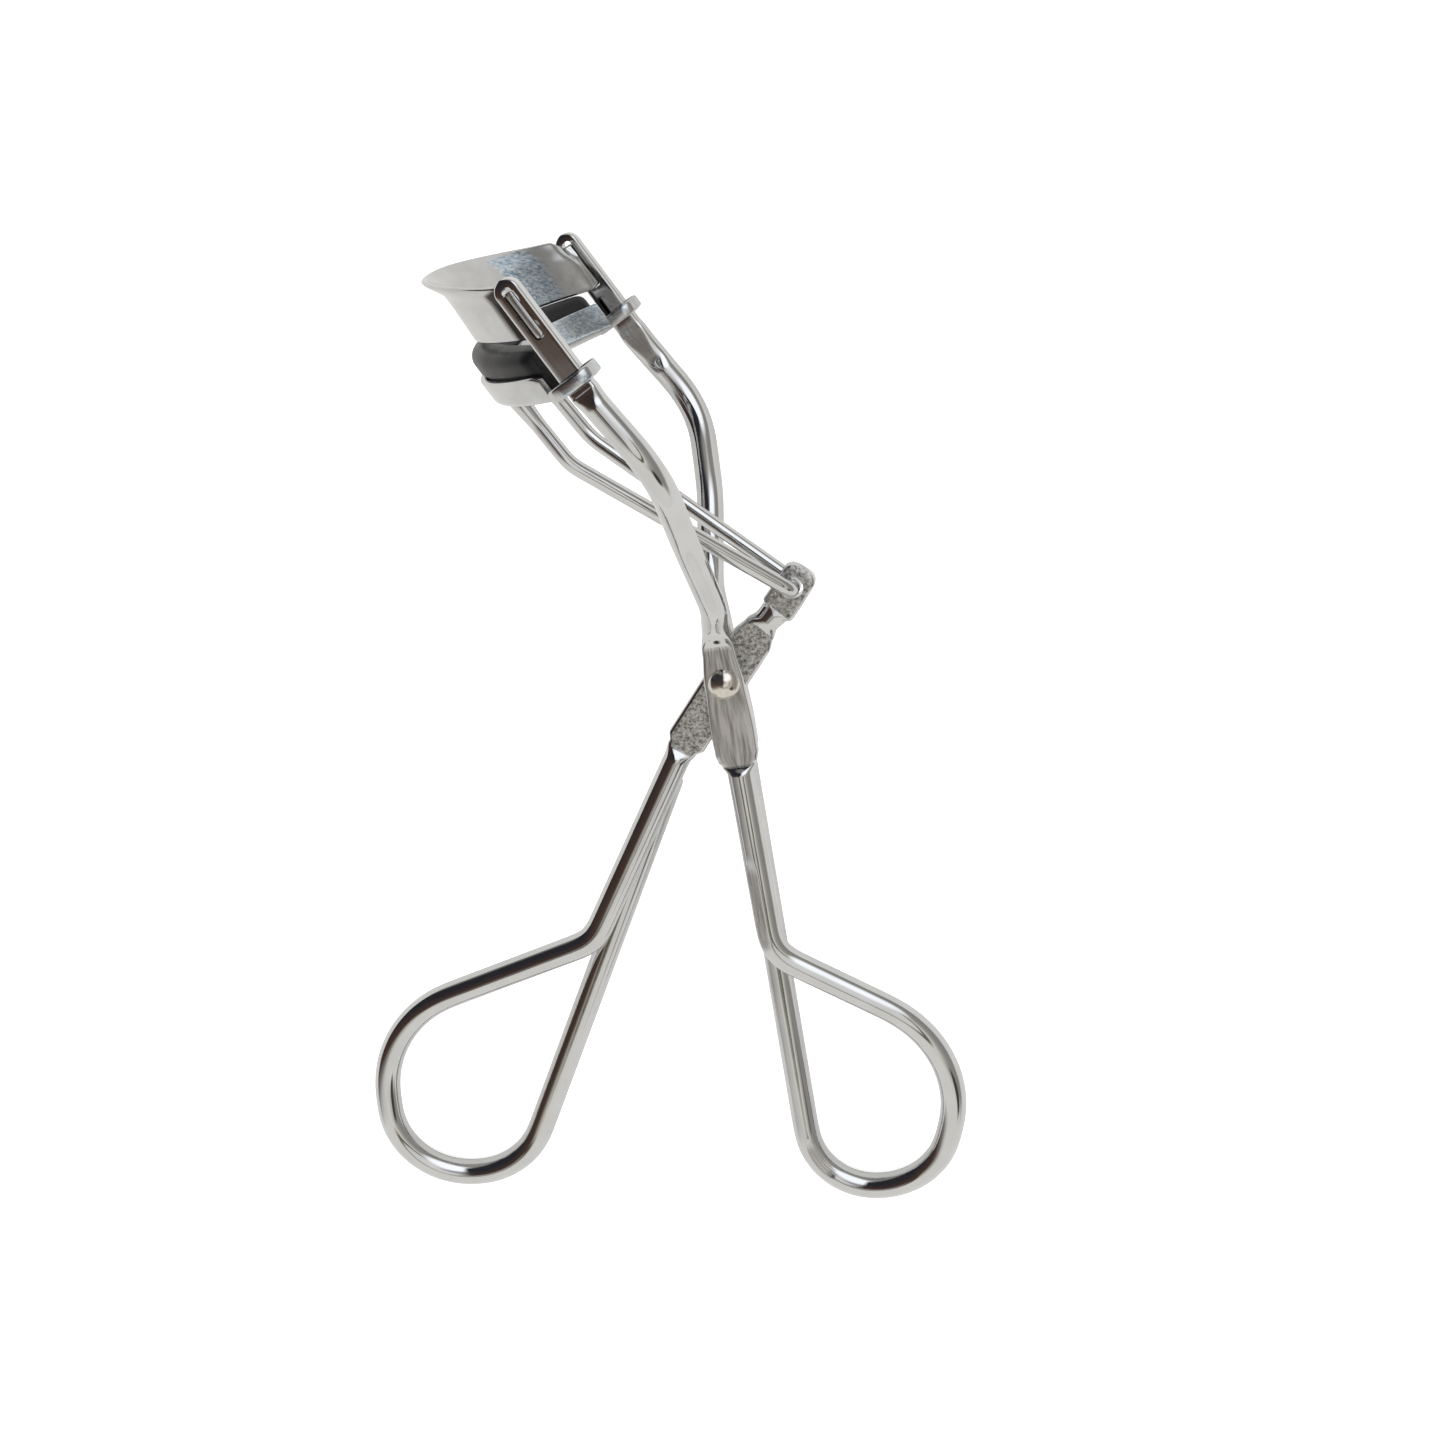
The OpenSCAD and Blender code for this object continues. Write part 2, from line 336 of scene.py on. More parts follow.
def add(tree, kind, inputs=(), **settings):
    """Adds one node; inputs are pairs of a socket and its value or the socket that feeds it."""
    made = tree.nodes.new(kind)
    for name, value in settings.items():
        setattr(made, name, value)
    for name, value in inputs:
        if isinstance(value, bpy.types.NodeSocket):
            tree.links.new(value, made.inputs[name])
        else:
            made.inputs[name].default_value = value
    return made


def new_material(name):
    material = bpy.data.materials.new(name)
    material.use_nodes = True
    tree = material.node_tree
    tree.nodes.clear()
    shader = add(tree, "ShaderNodeBsdfPrincipled")
    out = add(tree, "ShaderNodeOutputMaterial")
    tree.links.new(shader.outputs[0], out.inputs["Surface"])
    return material, tree, shader


def speck(mm):
    """Texture scale that gives features of this many mm on Object coordinates."""
    return 1000 / mm


def mixed(tree, factor, a, b):
    """A colour between two, by a 0 to 1 socket."""
    mix = add(tree, "ShaderNodeMix", data_type="RGBA")
    tree.links.new(factor, mix.inputs["Factor"])
    for socket, value in ((mix.inputs["A"], a), (mix.inputs["B"], b)):
        if isinstance(value, bpy.types.NodeSocket):
            tree.links.new(value, socket)
        else:
            socket.default_value = value
    return mix.outputs["Result"]


def ranged(tree, value, low, high, to_low=0.0, to_high=1.0):
    return add(tree, "ShaderNodeMapRange", [("Value", value), ("From Min", low), ("From Max", high),
                                            ("To Min", to_low), ("To Max", to_high)]).outputs[0]


def nickel_wire(name, streaked):
    """Bright nickel plate on drawn steel wire: a warm mirror with faint drawing lines and pits.
    Where the wire is pressed flat the plate is dull, streaked along it or speckled all over."""
    material, tree, shader = new_material(name)
    coords = add(tree, "ShaderNodeTexCoord")
    at = coords.outputs["Object"]
    pressed = add(tree, "ShaderNodeAttribute", attribute_name="pressed").outputs["Fac"]
    pits = add(tree, "ShaderNodeTexNoise", [("Vector", at), ("Scale", speck(0.35)), ("Detail", 4.0)])
    waves = add(tree, "ShaderNodeTexNoise", [("Vector", at), ("Scale", speck(4.0)), ("Detail", 1.0)])
    stretched = add(tree, "ShaderNodeMapping", [("Vector", coords.outputs["UV"]),
                                                ("Scale", (0.25, 60.0, 1.0))])
    lines = add(tree, "ShaderNodeTexNoise", [("Vector", stretched.outputs[0]), ("Scale", 1.0),
                                             ("Detail", 3.0)])
    grain = add(tree, "ShaderNodeTexNoise", [("Vector", at), ("Scale", speck(0.34)), ("Detail", 5.0),
                                             ("Roughness", 0.75)])
    press = lines.outputs["Fac"] if streaked else grain.outputs["Fac"]
    tones = (0.34, 0.62, "#8f8d8b", "#cfcdcb") if streaked else (0.36, 0.60, "#4e4c4b", "#d4d3d1")
    flat_tone = mixed(tree, ranged(tree, press, *tones[:2]), *(srgb(tone) for tone in tones[2:]))
    tone = mixed(tree, ranged(tree, waves.outputs["Fac"], 0.3, 0.7), srgb("#c9cacb"), srgb("#cfd0d1"))
    tree.links.new(mixed(tree, pressed, tone, flat_tone), shader.inputs["Base Color"])
    shader.inputs["Metallic"].default_value = 1.0
    polish = ranged(tree, pits.outputs["Fac"], 0.3, 0.75, 0.03, 0.10)
    dull = ranged(tree, press, 0.3, 0.7, 0.42, 0.28)
    rough = add(tree, "ShaderNodeMix", data_type="FLOAT")
    for socket, value in (("Factor", pressed), ("A", polish), ("B", dull)):
        tree.links.new(value, rough.inputs[socket])
    tree.links.new(rough.outputs["Result"], shader.inputs["Roughness"])
    deep = add(tree, "ShaderNodeMath", [(0, press), (1, pressed)], operation="MULTIPLY")
    peel = add(tree, "ShaderNodeBump", [("Height", waves.outputs["Fac"]), ("Strength", 0.06),
                                        ("Distance", 0.0002)])
    fine = add(tree, "ShaderNodeBump", [("Height", lines.outputs["Fac"]), ("Strength", 0.10),
                                        ("Distance", 0.00002), ("Normal", peel.outputs[0])])
    depth = 0.35 if streaked else 0.8
    bump = add(tree, "ShaderNodeBump", [("Height", deep.outputs[0]), ("Strength", depth),
                                        ("Distance", 0.00005), ("Normal", fine.outputs[0])])
    tree.links.new(bump.outputs[0], shader.inputs["Normal"])
    return material


def satin_plate(name):
    """Nickel plate on stamped sheet steel, tumbled to a satin: soft wide highlights, a cloudy,
    finely scratched patch where the plating is thin, and a dark band of painted shade beside each guide."""
    material, tree, shader = new_material(name)
    at = add(tree, "ShaderNodeTexCoord").outputs["Object"]
    mottle = add(tree, "ShaderNodeAttribute", attribute_name="mottle").outputs["Fac"]
    cloud = add(tree, "ShaderNodeTexNoise", [("Vector", at), ("Scale", speck(2.2)), ("Detail", 5.0),
                                             ("Roughness", 0.7)])
    brushed = add(tree, "ShaderNodeMapping", [("Vector", at), ("Rotation", (0.0, 0.0, 0.64)),
                                              ("Scale", (1.0, 2.2, 1.0))])
    scratch = add(tree, "ShaderNodeTexNoise", [("Vector", brushed.outputs[0]), ("Scale", speck(0.55)),
                                               ("Detail", 5.0), ("Roughness", 0.8)])
    plain = mixed(tree, ranged(tree, cloud.outputs["Fac"], 0.3, 0.7), srgb("#b9babb"), srgb("#c7c8c9"))
    cuts = ranged(tree, scratch.outputs["Fac"], 0.38, 0.62)
    stained = mixed(tree, cuts, srgb("#788da3"), srgb("#dae4ec"))
    painted_shade = add(tree, "ShaderNodeAttribute", attribute_name="painted_shade").outputs["Fac"]
    # Painted shade: a dark brown mixed into the colour on the outside of the jaw next to each guide,
    # standing in for shade there
    tone = mixed(tree, painted_shade, mixed(tree, mottle, plain, stained), srgb("#2e2823"))
    tree.links.new(tone, shader.inputs["Base Color"])
    shader.inputs["Metallic"].default_value = 1.0
    rough = ranged(tree, cloud.outputs["Fac"], 0.25, 0.75, 0.12, 0.20)
    tree.links.new(rough, shader.inputs["Roughness"])
    soft = add(tree, "ShaderNodeBump", [("Height", cloud.outputs["Fac"]), ("Strength", 0.10),
                                        ("Distance", 0.0001)])
    cut = add(tree, "ShaderNodeMath", [(0, scratch.outputs["Fac"]), (1, mottle)], operation="MULTIPLY")
    bump = add(tree, "ShaderNodeBump", [("Height", cut.outputs[0]), ("Strength", 0.35),
                                        ("Distance", 0.00008), ("Normal", soft.outputs[0])])
    tree.links.new(bump.outputs[0], shader.inputs["Normal"])
    return material


def polished_rivet(name):
    """Bright nickel plate on a headed steel rivet: a small mirror with a few fine pits."""
    material, tree, shader = new_material(name)
    at = add(tree, "ShaderNodeTexCoord").outputs["Object"]
    pits = add(tree, "ShaderNodeTexNoise", [("Vector", at), ("Scale", speck(0.4)), ("Detail", 3.0)])
    shader.inputs["Metallic"].default_value = 1.0
    tone = mixed(tree, pits.outputs["Fac"], srgb("#c6c1b9"), srgb("#dedad3"))
    tree.links.new(tone, shader.inputs["Base Color"])
    tree.links.new(ranged(tree, pits.outputs["Fac"], 0.3, 0.7, 0.1, 0.2), shader.inputs["Roughness"])
    bump = add(tree, "ShaderNodeBump", [("Height", pits.outputs["Fac"]), ("Strength", 0.2),
                                        ("Distance", 0.00003)])
    tree.links.new(bump.outputs[0], shader.inputs["Normal"])
    return material


def charcoal_silicone(name):
    """Moulded silicone rubber: deep charcoal with a soft sheen, a fine matte skin and a little dust."""
    material, tree, shader = new_material(name)
    at = add(tree, "ShaderNodeTexCoord").outputs["Object"]
    skin = add(tree, "ShaderNodeTexNoise", [("Vector", at), ("Scale", speck(0.25)), ("Detail", 4.0)])
    cloud = add(tree, "ShaderNodeTexNoise", [("Vector", at), ("Scale", speck(3.0)), ("Detail", 3.0)])
    dust = add(tree, "ShaderNodeTexVoronoi", [("Vector", at), ("Scale", speck(1.6))])
    base = mixed(tree, ranged(tree, cloud.outputs["Fac"], 0.35, 0.65), srgb("#0b0b0d"), srgb("#141417"))
    tone = mixed(tree, ranged(tree, dust.outputs["Distance"], 0.04, 0.07, 0.6, 0.0), base, srgb("#8d8d90"))
    tree.links.new(tone, shader.inputs["Base Color"])
    tree.links.new(ranged(tree, cloud.outputs["Fac"], 0.3, 0.7, 0.38, 0.5), shader.inputs["Roughness"])
    shader.inputs["Sheen Weight"].default_value = 0.05
    shader.inputs["IOR"].default_value = 1.41
    shader.inputs["Sheen Roughness"].default_value = 0.4
    bump = add(tree, "ShaderNodeBump", [("Height", skin.outputs["Fac"]), ("Strength", 0.2),
                                        ("Distance", 0.00003)])
    tree.links.new(bump.outputs[0], shader.inputs["Normal"])
    return material


STREAKED = nickel_wire("nickel_plate_streaked", streaked=True)
SPECKLED = nickel_wire("nickel_plate_speckled", streaked=False)
SATIN = satin_plate("nickel_plate_satin")
RIVET = polished_rivet("nickel_plate_polished")
SILICONE = charcoal_silicone("silicone_charcoal")


# --- Frame wire: guide, arm and boss at the rear, the loop, then the front ones ---

def frame_half(at):
    """Places of one side of the frame, from the tip of its guide to the foot of its boss."""
    y = at * GUIDE_HALF
    line = [GUIDES @ Vector((GUIDE_X, y, GUIDE_W)), GUIDES @ Vector((GUIDE_X, y, GUIDE_END)),
            GUIDES @ Vector((KNEE[0], y, KNEE[1])),
            Vector((ARM_MIDDLE[0] - 0.2 * at, ARM_MIDDLE[1], ARM_MIDDLE[2] * at)),
            on_boss(BOSS_TOP + 4, at * ARM_FOOT_Z) + Vector((0.05 + 0.7 * at, 0, 0)),
            on_boss(BOSS_TOP + 1.2, at * BOSS_Z), on_boss(BOSS_BOTTOM, at * BOSS_Z)]
    return line, [25, 9, 20, 6, 3]


def frame_wire():
    front, front_r = frame_half(1)
    rear, rear_r = frame_half(-1)
    points = front + [Vector(p) for p in FRAME_LOOP] + rear[::-1]
    route = Route(points, front_r + [6] + FRAME_LOOP_R + [6] + rear_r[::-1], ease=24)

    def side_keys(at, wide, rough, foot):
        """Half width, half thickness, edge radius, flatness and grain, from the guide's tip down."""
        def guide(z):
            return route.near(GUIDES @ Vector((GUIDE_X, at * GUIDE_HALF, z)))

        def boss(y):
            return route.near(on_boss(y, at * BOSS_Z))
        return [
            (guide(GUIDE_W), GUIDE_W, GUIDE_T, 0.3, 1, 0),
            (guide(-9.6), GUIDE_W, GUIDE_T, 0.3, 1, 0),
            (guide(-10.4), GUIDE_W, GUIDE_T, 0.3, 1, rough),
            (guide(-11.4), 1.38, 0.98, 0.35, 1, rough),
            (guide(-11.6 - foot), 1.42, 1.05, 0.45 + 0.75 * rough, 0.95, rough),
            (guide(-13.4 - foot), WIRE_R, WIRE_R, 1.0, 0, 0),
            (boss(BOSS_TOP + 1.2), WIRE_R, WIRE_R, 1.0, 0, 0),
            (boss(BOSS_TOP - 0.8), 0.37 * wide, BOSS_HALF_T, 0.4, 1, 1),
            (boss(0), 0.45 * wide, BOSS_HALF_T, 0.4, 1, 1),
            (boss(-5), 0.5 * wide, BOSS_HALF_T, 0.4, 1, 1),
            (boss(-7.5), 0.49 * wide, BOSS_HALF_T, 0.4, 1, 1),
            (boss(-8.3), 0.45 * wide, BOSS_HALF_T, 0.4, 1, 1),
            (boss(-8.8), 0.38 * wide, BOSS_HALF_T, 0.4, 1, 1),
            (boss(-9.7), WIRE_R, WIRE_R, 1.0, 0, 0)]

    keys = side_keys(1, 4.6, 0.0, 0.0) + side_keys(-1, 3.8, 0.6, 3.2)[::-1]
    rubbed = [
        (route.near(Vector((3.9, -24.0, 1.75))), 5.5, math.radians(62), 0.16),
        (route.near(Vector((10.2, -55.0, -1.5))), 2.6, math.radians(80), 0.13)]
    bm = drawn_wire(route, keys, (GUIDE_W, GUIDE_W), rubbed)
    piece = solid("frame_wire", bm)
    for at in (-1, 1):
        bm = bmesh.new()
        bmesh.ops.create_cube(bm, size=1)
        bmesh.ops.scale(bm, vec=(SLOT[0], 4.0, SLOT[1]), verts=bm.verts)
        bmesh.ops.bevel(bm, geom=[e for e in bm.edges if abs((e.verts[0].co - e.verts[1].co).y) > 1],
                        offset=0.35, segments=4, profile=0.5, affect="EDGES", material=-1)
        bmesh.ops.translate(bm, vec=(GUIDE_X, at * GUIDE_HALF, SLOT_Z), verts=bm.verts)
        carve(piece, solid("slot_punch", bm, GUIDES))
    return finish(piece, STREAKED, "frame",
                  ["frame_front_guide", "frame_rear_guide", "frame_front_arm", "frame_rear_arm",
                   "frame_front_boss", "frame_rear_boss", "frame_handle"])


def pivot_rivet():
    """A stem with a low dome closed over each boss."""
    stack = BOSS_Z + BOSS_HALF_T
    dome_r = 1.98
    stem_r = 1.1
    profile = [(0.0, stack + 0.9)]
    for k in range(1, 13):
        a = math.radians(56.4 * k / 12)
        profile.append((dome_r * math.sin(a), stack - 1.08 + dome_r * math.cos(a)))
    profile += [(1.62, stack - 0.02), (stem_r, stack - 0.02), (stem_r, 0.0)]
    bm = bmesh.new()
    line = [bm.verts.new((x, 0, z)) for x, z in profile]
    edges = [bm.edges.new(pair) for pair in zip(line, line[1:])]
    bmesh.ops.mirror(bm, geom=bm.verts[:] + edges, axis="Z", merge_dist=1e-4)
    bmesh.ops.spin(bm, geom=bm.verts[:] + bm.edges[:], axis=(0, 0, 1), cent=(0, 0, 0), steps=48,
                   angle=math.tau, use_merge=True)
    bmesh.ops.remove_doubles(bm, verts=bm.verts, dist=1e-4)
    bmesh.ops.recalc_face_normals(bm, faces=bm.faces)
    return finish(solid("pivot_rivet", bm), RIVET, "frame", ["pivot_rivet"])


# --- Lever ---

def lever_wire():
    points = [on_lever(HEAD_SIDE, HEAD_TOP), on_lever(HEAD_SIDE, 9.4), on_lever(0.15, 6.6),
              on_lever(0, -9.2)] + [Vector(p) for p in LEVER_LOOP] + [Vector(LEVER_TAIL)]
    route = Route(points, [2.5, 2.5, 3] + LEVER_LOOP_R, ease=16)

    def at(up, side=0.0):
        return route.near(on_lever(side, up))

    keys = [
        (0, 1.8, 0.95, 0.35, 1, 1),
        (at(9.3, HEAD_SIDE), 1.85, 0.95, 0.35, 1, 1),
        (at(8.6, 0.7), 1.5, 1.1, 0.8, 0, 0),
        (at(7.6, 0.4), 1.4, 1.1, 0.8, 0, 0),
        (at(6.5), 1.75, 0.85, 0.35, 1, 1),
        (at(4.8), 2.15, 0.85, 0.35, 1, 1),
        (at(-7.8), 2.1, 0.85, 0.35, 1, 1),
        (at(-9.0), 1.6, 0.85, 0.35, 1, 1),
        (at(-10.4), WIRE_R, WIRE_R, 1.0, 0, 0),
        (route.length, WIRE_R, WIRE_R, 1.0, 0, 0)]
    piece = solid("lever_wire", drawn_wire(route, keys, (1.1, 1.0)))
    for side, up, r in ((HEAD_SIDE, LINK_ARM, 1.1), (0, 0, 1.15)):
        bm = bmesh.new()
        bmesh.ops.create_cone(bm, cap_ends=True, segments=48, radius1=r, radius2=r, depth=6)
        bmesh.ops.translate(bm, vec=on_lever(side, up), verts=bm.verts)
        carve(piece, solid("drill", bm))
    return finish(piece, SPECKLED, "lever", ["lever_head", "lever_web", "lever_handle"])


# --- Jaws ---

def rounding(left, r, least):
    """How much of a thickness is left this far from a rounded end, down to a least share at it."""
    if left > r:
        return 1.0
    return least + (1 - least) * math.sqrt(max(0.0, 1 - (1 - left / r) ** 2))


def jaw_route(end):
    """The upper jaw's line, seen along the guides: an arc whose ends turn square to the guides."""
    turn = math.radians(56)
    apex = JAW_X + JAW_R / math.cos(turn)
    corner = apex / math.tan(turn)
    return Route([(0, -end, 0), (0, -corner, 0), (apex, 0, 0), (0, corner, 0), (0, end, 0)],
                 [0.9, JAW_R, 0.9])


def lower_route(turn):
    """The lower jaw's line, seen along the guides: an arc this far to each side of its middle."""
    apex = JAW_X + LOWER_OUT + JAW_R / math.cos(turn)
    reach = JAW_R * math.sin(turn)
    foot = JAW_X + LOWER_OUT + JAW_R * math.cos(turn)
    return Route([(foot, -reach, 0), (apex, 0, 0), (foot, reach, 0)], [JAW_R - 0.001])


def lofted(route, rows, outline, place):
    """A section carried along a jaw's line; place says where its point (across, up) stands."""
    def point(i, k):
        s = rows[i]
        p = route.at(s)
        t = route.heading(s)
        across, up = place(p, *outline[k])
        return Vector((p.x + t.y * across, p.y - t.x * across, up)), s
    return rolled(len(rows), len(outline), point)


def marked(bm, name, value):
    layer = bm.verts.layers.float.new(name)
    for v in bm.verts:
        v[layer] = value(v.co)


def closed_outline(points, radii, spacing=0.35):
    """A closed outline with round corners, as evenly spread points."""
    start = (Vector(points[0]) + Vector(points[-1])) / 2
    ring = bent([start] + [Vector(p) for p in points] + [start], radii)
    outline = []
    for a, b in zip(ring, ring[1:]):
        steps = max(1, round((b - a).length / spacing))
        outline += [a.lerp(b, k / steps) for k in range(steps)]
    kept = []
    for p in outline:
        if not kept or (p - kept[-1]).length > 0.02:
            kept.append(p)
    return [(p.x, p.y) for p in kept]


def upper_jaw():
    half_t = 0.3
    edge = 0.3
    # Where the plate narrows to the tab that passes through the guide's slot
    shoulder = 15.6
    route = jaw_route(JAW_TAB)
    rows = rows_for(route.length, 0.45, [(2.2, 1.6), (route.length - 2.2, 1.6), (0.1, 0.1),
                                         (route.length - 0.1, 0.1)])
    # Across the plate from -half_t to half_t, and up it from 0 to a height that place stretches
    height = 10.0
    outline = closed_outline([(-half_t, 0, 0), (half_t, 0, 0), (half_t, height, 0), (-half_t, height, 0)],
                             [0.25] * 4)

    def place(p, across, up):
        b = max(0.0, p.x)
        out = abs(p.y)
        low = JAW_LOW + 0.41 * b
        high = JAW_HIGH - 5.3 * min(1.0, out / shoulder) ** 2.3 - 0.01 * p.y
        neck = smooth((out - shoulder + 0.6) / 0.8)
        low += (-5.15 - low) * neck
        high += (0.0 - high) * neck
        tall = high - low
        if up < edge:
            z = low + up
        elif up > height - edge:
            z = high - (height - up)
        else:
            z = low + edge + (up - edge) / (height - 2 * edge) * (tall - 2 * edge)
        # The plate leans in a little up to its waist, and its lip flares out most at the middle
        waist = -0.35 * smooth((z + 5.3) / 8.5)
        curl = 1.15 - 0.45 * smooth((out - 7) / 8) - 0.1 * smooth(-p.y / 8)
        past = smooth((out - shoulder - 0.1) / 0.4)
        thick = (1 + 0.4 * past) * rounding(JAW_TAB - out, 0.12, 0.6)
        lean = waist + curl * smooth((z - high + 2.6) / 3.0)
        return across * thick - 0.2 * past + lean * (1 - past), z

    bm = lofted(route, rows, outline, place)
    marked(bm, "mottle", inner_patch)
    # Marks where dark shade is painted on the outside of the jaw beside each guide
    marked(bm, "painted_shade", painted_shade_band)
    return finish(solid("upper_jaw", bm, GUIDES), SATIN, "frame", ["upper_jaw"])


def inner_patch(co):
    """1 on the concave side of the jaw's plate, towards the rear, as far as its bent end."""
    inside = smooth((JAW_R - math.hypot(co.x - JAW_X, co.y)) / 0.1)
    return inside * smooth((-9.0 - co.y) / 0.8) * smooth((co.y + 13.6) / 0.8)


def painted_shade_band(co):
    """1 on the convex side of the jaw's plate, next to each guide and below the lip: where dark shade is
    painted into the colour.
    """
    outside = smooth((math.hypot(co.x - JAW_X, co.y) - JAW_R) / 0.1)
    return outside * smooth((2.9 - co.x) / 0.5) * smooth((co.x - 0.2) / 0.5) * smooth((1.2 - co.z) / 0.4)


def skew(y):
    """How far the lower jaw stands off level: it rides higher on its rear guide."""
    return 0.12 - 0.04 * y


def trough_height(p):
    """Lowest and highest edge of the trough at a place along its line."""
    ends = 1 - smooth(p.x / (1.6 + 0.05 * p.y))
    rise = 0.325 * p.x + 0.25 * smooth(-p.y / 8)
    low = -11.0 + rise
    high = -7.9 + rise
    return low + (-10.3 - low) * ends + skew(p.y), high + (-9.1 - high) * ends + skew(p.y)


def trough_patch(co):
    """Up to 0.7 on the concave side of the trough, towards the rear."""
    inside = smooth((JAW_R - 1.6 - math.hypot(co.x - JAW_X, co.y)) / 0.1)
    return inside * 0.7 * smooth((-4.0 - co.y) / 3.0)


def lower_jaw():
    route = lower_route(LOWER_END)
    rows = rows_for(route.length, 0.45, [(1.5, 1.5), (route.length - 1.5, 1.5)])
    # Up the trough from 0 at its underside, past its floor, to its rim
    floor = 0.6
    rim = 2.9
    outline = closed_outline(
        [(-2, 0, 0), (2.2, 0, 0), (2.2, rim, 0), (1.5, rim, 0), (1.5, floor, 0), (-1.4, floor, 0),
         (-1.4, rim, 0), (-2, rim, 0)], [0.9, 0.9, 0.22, 0.22, 0.4, 0.4, 0.22, 0.22])

    def place(p, across, up):
        low, high = trough_height(p)
        if up <= floor:
            return across, low + up
        return across, low + floor + (up - floor) / (rim - floor) * max(0.02, high - low - floor)

    bm = lofted(route, rows, outline, place)
    marked(bm, "mottle", trough_patch)
    piece = solid("lower_jaw", bm, GUIDES)
    for at in (-1, 1):
        bm = bmesh.new()
        bmesh.ops.create_cube(bm, size=1)
        bmesh.ops.scale(bm, vec=EAR, verts=bm.verts)
        upright = [e for e in bm.edges if abs((e.verts[0].co - e.verts[1].co).z) > 1]
        bmesh.ops.bevel(bm, geom=upright, offset=1.6, segments=8, profile=0.5, affect="EDGES", material=-1)
        around = [e for e in bm.edges if abs((e.verts[0].co - e.verts[1].co).z) < 0.1]
        bmesh.ops.bevel(bm, geom=around, offset=0.28, segments=4, profile=0.5, affect="EDGES", material=-1)
        height = EAR_Z + skew(at * GUIDE_HALF)
        bmesh.ops.translate(bm, vec=(0, at * (GUIDE_HALF - 0.25), height), verts=bm.verts)
        carve(piece, solid("ear", bm, GUIDES), "UNION")
    for at in (-1, 1):
        bm = bmesh.new()
        bmesh.ops.create_cone(bm, cap_ends=True, segments=64, radius1=EAR_HOLE_R, radius2=EAR_HOLE_R,
                              depth=5)
        bmesh.ops.scale(bm, vec=(1, 0.85, 1), verts=bm.verts)
        bmesh.ops.translate(bm, vec=(EAR_HOLE_X, at * GUIDE_HALF, EAR_Z), verts=bm.verts)
        carve(piece, solid("drill", bm, GUIDES))
    return finish(piece, SATIN, "carriage", ["lower_jaw"])


def lash_pad():
    route = lower_route(PAD_END)
    round_end = 1.2
    length = route.length
    rows = [s for s in rows_for(length, 0.45, []) if round_end < s < length - round_end]
    rows = tip_rows(round_end) + rows + [length - s for s in reversed(tip_rows(round_end))]
    # Up the pad from 0 on the trough's floor to its top; it swells out above the rim
    top = 5.2
    outline = closed_outline([(-1.3, 0, 0), (1.3, 0, 0), (1.3, 2.3, 0), (1.62, 2.9, 0), (1.62, top, 0),
                              (-1.62, top, 0), (-1.62, 2.9, 0), (-1.3, 2.3, 0)],
                             [0.2, 0.2, 0.5, 0.5, 1.25, 1.25, 0.5, 0.5])

    def place(p, across, up):
        low = trough_height(p)[0] + 0.62
        high = -5.8 + 0.404 * p.x + min(0.35, skew(p.y))
        end = length / 2 - abs(math.atan2(p.y, p.x - JAW_X - LOWER_OUT)) * JAW_R
        pull = rounding(end, round_end, 0.35)
        return across * pull, low + up / top * (high - low - (1 - pull) * 0.5)

    bm = lofted(route, rows, outline, place)
    return finish(solid("lash_pad", bm, GUIDES), SILICONE, "carriage", ["lash_pad"], 50)


def link_wire():
    hole = on_lever(HEAD_SIDE, LINK_ARM)
    front, rear = ([GUIDES @ Vector((x, at * y, z)) for x, y, z in LINK_LEG] for at in (1, -1))
    points = front + [(hole.x, hole.y, LINK_Z), (hole.x, hole.y, -LINK_Z)] + rear[::-1]
    route = Route(points, [6, 0.95, 0.95, 6], ease=3, step=0.15)
    rows = rows_for(route.length, 0.3, [])
    frames = []
    side = Vector((0, 0, 1))
    for s in rows:
        t = route.heading(s)
        side = (side - side.dot(t) * t).normalized()
        frames.append((route.at(s), side, t.cross(side)))
    count = 24

    def place(i, k):
        middle, across, up = frames[i]
        a = math.tau * k / count
        end = min(rows[i], route.length - rows[i])
        r = LINK_R * (1 + 0.25 * (1 - smooth(end / 3.5)))
        return middle + r * (math.cos(a) * across + math.sin(a) * up), rows[i]

    bm = rolled(len(rows), count, place)
    marked(bm, "pressed", lambda co: 0.0)
    return finish(solid("link_wire", bm), SPECKLED, "carriage", ["link_wire"])


frame_wire()
pivot_rivet()
upper_jaw()
lever_wire()
lower_jaw()
lash_pad()
link_wire()


# --- Table, light and camera ---

def table():
    bm = bmesh.new()
    bmesh.ops.create_grid(bm, x_segments=4, y_segments=4, size=1.5)
    mesh = bpy.data.meshes.new("table")
    bm.to_mesh(mesh)
    bm.free()
    top = bpy.data.objects.new("table", mesh)
    bpy.context.scene.collection.objects.link(top)
    material, tree, shader = new_material("white_laminate")
    at = add(tree, "ShaderNodeTexCoord").outputs["Object"]
    cloud = add(tree, "ShaderNodeTexNoise", [("Vector", at), ("Scale", 6.0)])
    plain = mixed(tree, cloud.outputs["Fac"], srgb("#f6f6f5"), srgb("#f9f9f8"))
    gloss = add(tree, "ShaderNodeLightPath").outputs["Is Glossy Ray"]
    tree.links.new(mixed(tree, gloss, plain, srgb("#d3d1cd")), shader.inputs["Base Color"])
    shader.inputs["Roughness"].default_value = 0.7
    tree.links.new(mixed(tree, gloss, srgb("#ffffff"), srgb("#000000")), shader.inputs["Emission Color"])
    shader.inputs["Emission Strength"].default_value = 0.4
    mesh.materials.append(material)


